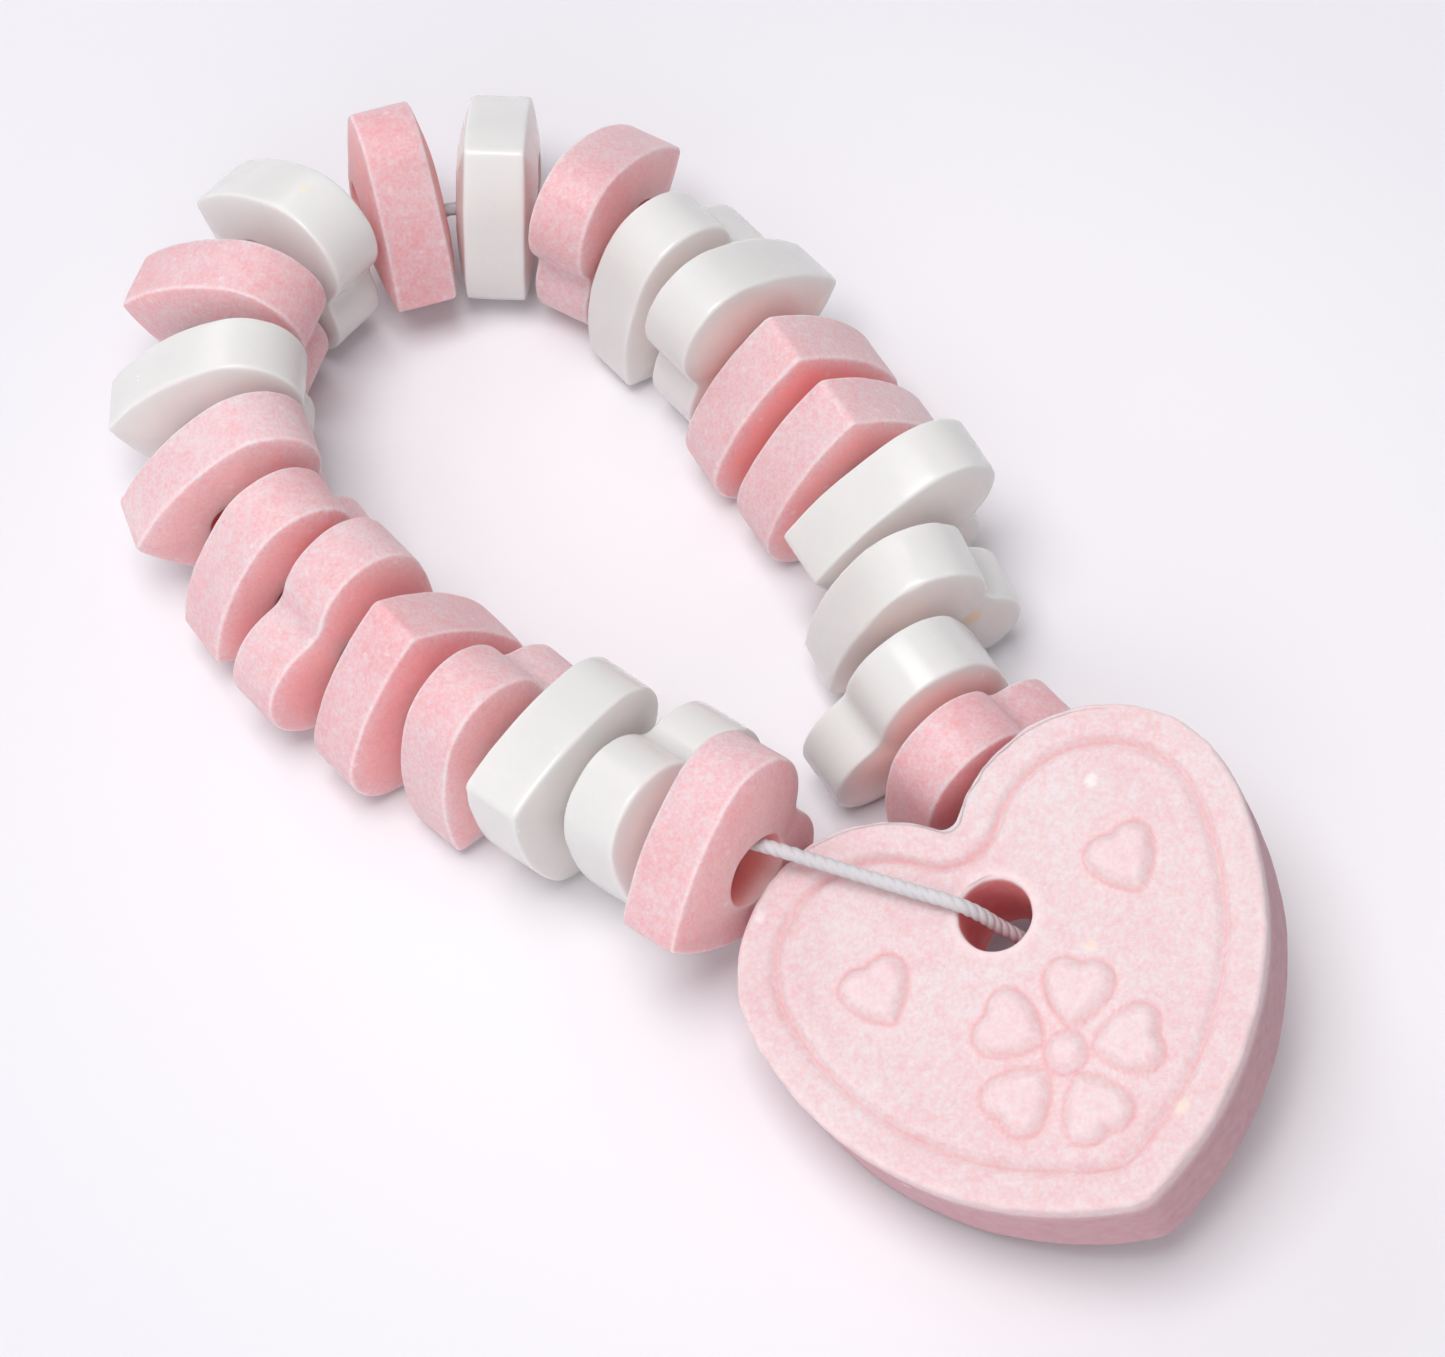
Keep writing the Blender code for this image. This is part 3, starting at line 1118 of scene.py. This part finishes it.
    def in_motif(self, flat: np.ndarray) -> np.ndarray:
        """How far points lie inside the motif: a flower of hearts round a button, and a heart in each lobe.

        Args:
            flat: Points of the face, rows of x and y.

        Returns:
            The distance to the motif's outline, under 0 outside it.
        """
        outline = self.small_heart.outline(self.small_steps)
        inside = np.full(len(flat), -self.small_heart.height)
        turns = [2 * math.pi * (i + 0.5) / self.petals for i in range(self.petals)]
        spots = [(*self.flower, turn, self.petal_out) for turn in turns]
        spots += [(side * self.lobe_heart[0], self.lobe_heart[1], 0.0, 0.0) for side in (-1, 1)]
        for x, y, angle, out in spots:
            cos, sin = math.cos(angle), math.sin(angle)
            moved = flat - np.array((x, y))
            turned = moved @ np.array(((cos, -sin), (sin, cos))) - np.array((0.0, out))
            near = np.hypot(*turned.T) < self.small_heart.height
            inside[near] = np.maximum(inside[near], depth_inside(turned[near], outline))
        button = self.centre_r - np.hypot(*(flat - np.array(self.flower)).T)
        return np.maximum(inside, button)

    def press(self, mesh: Mesh) -> None:
        """Presses the border groove and the motif into the top face, wears the whole and paints shade into
        the groove, round the motif, in the hole and on the sides.

        Args:
            mesh: The slab's mesh.
        """
        points = points_of(mesh)
        normals = normals_of(mesh)
        flat = points[:, :2]
        height = points[:, 2]
        inset = depth_inside(flat, self.heart.outline(self.coarse_steps))
        away = np.hypot(flat[:, 0], flat[:, 1] + self.hole_drop) - self.hole_r
        steep, level = self.top_slope
        top = ease((normals[:, 2] - steep) / (level - steep)) * (height > -self.thick / 2)
        past_groove = inset - self.groove_inset
        inside = self.in_motif(flat)
        motif = np.sin(np.clip((inside + self.small_foot) / self.small_shoulder, 0.0, 1.0) * math.pi / 2)
        skirt = self.skirt.at(inside)
        lift = self.small_rise * motif - self.groove_depth * bell(past_groove, self.groove_half)
        lift += sum(lip.at(past_groove) * lip.strength for lip in self.lips) - skirt * self.skirt.strength
        edge = self.edge.at(inset) * bell(height, self.edge_drop)
        mouth = self.mouth.at(away) * bell(height, self.mouth_drop)
        lumps = lumps_at(points, self.crumb, self.seed) * (self.crumb_rise + self.crumb_edge_rise * edge)
        lumps += lumps_at(points, self.swell, self.seed + 1) * self.swell_rise - self.swell_drop
        lumps += lumps_at(points, self.grit, self.seed + 2) * self.grit_rise
        moved = points + normals * lumps[:, None]
        moved[:, 2] += lift * top
        move_points(mesh, moved)
        # painted shade and red glow inside the hole
        in_hole = ease(1.0 - away / self.mouth_shade) * ease(-height / self.hole_fade)
        worn = self.edge.strength * edge + mouth + self.motif_wear * motif * top
        # painted shade along the groove and round the motif's foot
        pressed = (self.line.at(past_groove) * self.line.strength + skirt * self.skirt_shade) * top
        store_tracks(mesh, {
            Track.WORN: worn,
            Track.PAINTED_SHADE_GLOW: pressed + in_hole,
            # painted shade on the side walls
            Track.SKIN: self.side_shade * ease(-(height + self.side_shade_top) / self.side_shade_fade) * (1.0 - in_hole),
            Track.TONE: 0.5,
            Track.GLOSS: 0.0,
        })

    def build(self, material: Material) -> Piece:
        """Makes the pendant.

        Args:
            material: Its finish.

        Returns:
            The piece.
        """
        obj = self.model()
        self.place = placing(points_of(obj.data), self.rotation(), "pendant")
        self.press(obj.data)
        finish_mesh(obj.data, self.place, "pendant", material)
        return Piece(obj, "pendant", Sugar.PENDANT.value)


# The thread


@dataclass
class Thread:
    """The white elastic: three plies twisted together, drawn through the beads and the pendant's hole."""

    beads: BeadString
    pendant: Pendant
    radius: float = 0.425 * MM
    clear: float = 0.12 * MM
    rounds: int = 12
    plies: int = 3
    ply_share: float = 0.75
    pitch: float = 2.0 * MM
    step: float = 0.13 * MM
    sides: int = 24
    dense: int = 33
    seam: int = 12
    past_rim: float = 0.8 * MM
    first_aside: tuple[float, float] = (0.6, 0.8)
    last_drop: float = 0.5
    # Millimetres from the middle of the pendant's hole: below it, up it and over its edge
    up_hole: tuple[Place, ...] = (
        (0.6, -0.3, -8.4),
        (0.5, -0.4, -4.32),
        (-0.2274, 0.1956, -2.2),
        (-0.9096, 0.7824, -0.35),
        (-1.5918, 1.3692, 0.545),
    )
    bridge: tuple[float, ...] = (0.25, 0.5, 0.75)

    def drawn_taut(self, mouths: list[tuple[Vector, Vector]], free_r: float) -> list[Vector]:
        """Draws the points in the holes' mouths towards the straight way between their neighbours.

        Args:
            mouths: Each mouth's centre and its hole's axis.
            free_r: How far from the centre the thread's middle may lie.

        Returns:
            The points.
        """
        points = [centre for centre, axis in mouths]
        for _ in range(self.rounds):
            for i in range(1, len(mouths) - 1):
                centre, axis = mouths[i]
                before = points[i - 1]
                way = points[i + 1] - before
                share = (centre - before).dot(axis) / max(way.dot(axis), self.radius)
                offset = before + way * min(max(share, 0.0), 1.0) - centre
                aside = offset - axis * offset.dot(axis)
                points[i] = centre + aside * (free_r / max(aside.length, free_r))
        return points

    def route(self) -> list[Vector]:
        """Leads the thread through every bead, under the pendant, up its hole and back over its face.

        Returns:
            The points in order.
        """
        half = self.beads.rim / 2 + self.past_rim
        free_r = self.beads.hole_r - self.radius - self.clear
        mouths = []
        for place in self.beads.frames:
            axis = place.to_3x3() @ Vector((0.0, 0.0, 1.0))
            mouths += [(place.translation - axis * half, axis), (place.translation + axis * half, axis)]
        first, axis = mouths[0]
        aside = Vector((axis.y, -axis.x, 0.0)).normalized()
        out, up = self.first_aside
        mouths[0] = (first + (Vector((0.0, 0.0, up)) + aside * out) * free_r, axis)
        mouths[-1] = (mouths[-1][0] - Vector((0.0, 0.0, free_r * self.last_drop)), mouths[-1][1])
        hole = Vector((0.0, -self.pendant.hole_drop, 0.0))
        in_pendant = [self.pendant.place @ (hole + Vector(place) * MM) for place in self.up_hole]
        taut = self.drawn_taut(mouths, free_r)
        return taut + in_pendant + [in_pendant[-1].lerp(taut[0], share) for share in self.bridge]

    def smooth_way(self) -> np.ndarray:
        """Evenly spaced points along a smooth closed curve through the route, from inside a bead.

        Returns:
            The points, one row each, the first and the last in the same place.
        """
        data = bpy.data.curves.new("thread_way", "CURVE")
        data.dimensions = "3D"
        spline = data.splines.new("BEZIER")
        route = self.route()
        spline.bezier_points.add(len(route) - 1)
        for point, place in zip(spline.bezier_points, route):
            point.co = place
            point.handle_left_type = point.handle_right_type = "AUTO"
        spline.use_cyclic_u = True
        way = add_object("thread_way", data)
        bpy.context.view_layer.update()
        dense = []
        knots = list(spline.bezier_points)
        for a, b in zip(knots, knots[1:] + knots[:1]):
            dense += interpolate_bezier(a.co, a.handle_right, b.handle_left, b.co, self.dense)[:-1]
        bpy.data.objects.remove(way, do_unlink=True)
        line = np.array([tuple(p) for p in dense])
        line = np.roll(line, -(self.dense - 1) * self.seam - self.dense // 2, axis=0)
        line = np.vstack((line, line[:1]))
        length = np.concatenate(((0.0,), np.cumsum(np.linalg.norm(np.diff(line, axis=0), axis=1))))
        even = np.linspace(0.0, length[-1], int(length[-1] / self.step))
        LOG.info("thread length %.1f mm", length[-1] / MM)
        return np.column_stack([np.interp(even, length, column) for column in line.T])

    def section(self) -> Object:
        """The outline of the plies side by side, as a curve that is swept along the way.

        Returns:
            The section's curve object.
        """
        data = bpy.data.curves.new("thread_section", "CURVE")
        data.dimensions = "2D"
        spline = data.splines.new("POLY")
        spline.points.add(self.sides - 1)
        ply = self.radius * self.ply_share
        out = self.radius - ply
        for i, point in enumerate(spline.points):
            angle = 2 * math.pi * i / self.sides
            third = 2 * math.pi / self.plies
            off = (angle + third / 2) % third - third / 2
            reach = out * math.cos(off) + math.sqrt(ply ** 2 - (out * math.sin(off)) ** 2)
            point.co = (reach * math.cos(angle), reach * math.sin(angle), 0.0, 1.0)
        spline.use_cyclic_u = True
        return add_object("thread_section", data)

    def build(self, material: Material) -> Piece:
        """Makes the thread.

        Args:
            material: Its finish.

        Returns:
            The piece.
        """
        way = self.smooth_way()
        section = self.section()
        data = bpy.data.curves.new("elastic_thread", "CURVE")
        data.dimensions = "3D"
        data.bevel_mode = "OBJECT"
        data.bevel_object = section
        data.use_fill_caps = True
        data.twist_mode = "MINIMUM"
        spline = data.splines.new("POLY")
        spline.points.add(len(way) - 1)
        spline.points.foreach_set("co", np.column_stack((way, np.ones(len(way)))).ravel())
        spline.points.foreach_set("tilt", np.arange(len(way)) * (self.step * 2 * math.pi / self.pitch))
        obj = add_object("elastic_thread", data)
        bpy.ops.object.select_all(action="DESELECT")
        obj.select_set(True)
        bpy.context.view_layer.objects.active = obj
        bpy.ops.object.convert(target="MESH")
        bpy.ops.object.shade_smooth()
        bpy.data.objects.remove(section, do_unlink=True)
        obj = bpy.context.object
        obj.data.materials.append(material)
        return Piece(obj, "thread", "elastic_thread")


# The studio


@dataclass(frozen=True)
class Softbox:
    """A flat square light that faces the bracelet."""

    name: str
    place: Place
    size: float
    strength: float
    colour: Colour

    def hang(self) -> None:
        """Adds the light."""
        data = bpy.data.lights.new(self.name, "AREA")
        data.size = self.size
        data.energy = self.strength
        data.color = self.colour
        lamp = add_object(self.name, data)
        lamp.location = self.place
        lamp.rotation_euler = Vector(self.place).to_track_quat("Z", "Y").to_euler()


@dataclass
class Studio:
    """The pale floor, the soft light and the camera."""

    target: Place = (2.874 * MM, 0.209 * MM, 0.0)
    elevation: float = 58.0
    distance: float = 255.0 * MM
    focal_px: float = 4300.0
    sensor: float = 36.0
    seen: tuple[float, float] = (0.01, 10.0)
    floor_half: float = 1.5
    sky: Colour = (0.975, 0.97, 1.0)
    sky_strength: float = 0.34
    boxes: tuple[Softbox, ...] = (
        Softbox("top_light", (-0.14, -0.07, 0.67), 0.4, 3.2, (1.0, 0.99, 0.995)),
        Softbox("back_light", (-0.38, 0.48, 0.45), 0.35, 0.75, (1.0, 0.99, 0.99)),
        Softbox("front_light", (-0.16, -0.64, 0.40), 0.6, 1.5, (1.0, 0.995, 0.985)),
    )

    def camera(self) -> None:
        """Sets the camera at the photograph's viewing angle."""
        data = bpy.data.cameras.new("camera")
        data.sensor_width = self.sensor
        data.lens = self.focal_px / IMAGE_WIDTH * self.sensor
        data.clip_start, data.clip_end = self.seen
        camera = add_object("camera", data)
        height = math.radians(self.elevation)
        back = Vector((0.0, -math.cos(height), math.sin(height))) * self.distance
        camera.location = Vector(self.target) + back
        camera.rotation_euler = (math.pi / 2 - height, 0.0, 0.0)
        bpy.context.scene.camera = camera

    def floor(self) -> None:
        """Lays the floor."""
        bpy.ops.mesh.primitive_plane_add(size=2 * self.floor_half)
        floor = bpy.context.object
        floor.name = "floor"
        floor.data.materials.append(PaperFinish().material())

    def light(self) -> None:
        """Sets the dim even sky and hangs the soft lights: overhead, behind and in front."""
        scene = bpy.context.scene
        scene.world = scene.world or bpy.data.worlds.new("studio")
        scene.world.use_nodes = True
        background = scene.world.node_tree.nodes["Background"]
        background.inputs["Color"].default_value = (*self.sky, 1.0)
        background.inputs["Strength"].default_value = self.sky_strength
        for box in self.boxes:
            box.hang()
        scene.view_settings.view_transform = "Standard"

    def build(self) -> None:
        """Sets up the whole studio."""
        self.camera()
        self.floor()
        self.light()
        LOG.info("studio is set up")


def main() -> None:
    """Builds the studio and every piece, and reports each."""
    logging.basicConfig(level=logging.INFO, format="%(name)s: %(message)s")
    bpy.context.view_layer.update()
    Studio().build()
    materials = {sugar: finish.material(sugar.value) for sugar, finish in FINISHES.items()}
    beads = BeadString()
    pieces = beads.build(materials)
    pendant = Pendant()
    pieces.append(pendant.build(materials[Sugar.PENDANT]))
    pieces.append(Thread(beads, pendant).build(ThreadFinish().material()))
    for piece in pieces:
        piece.set_in_place()


if __name__ == "__main__":
    main()
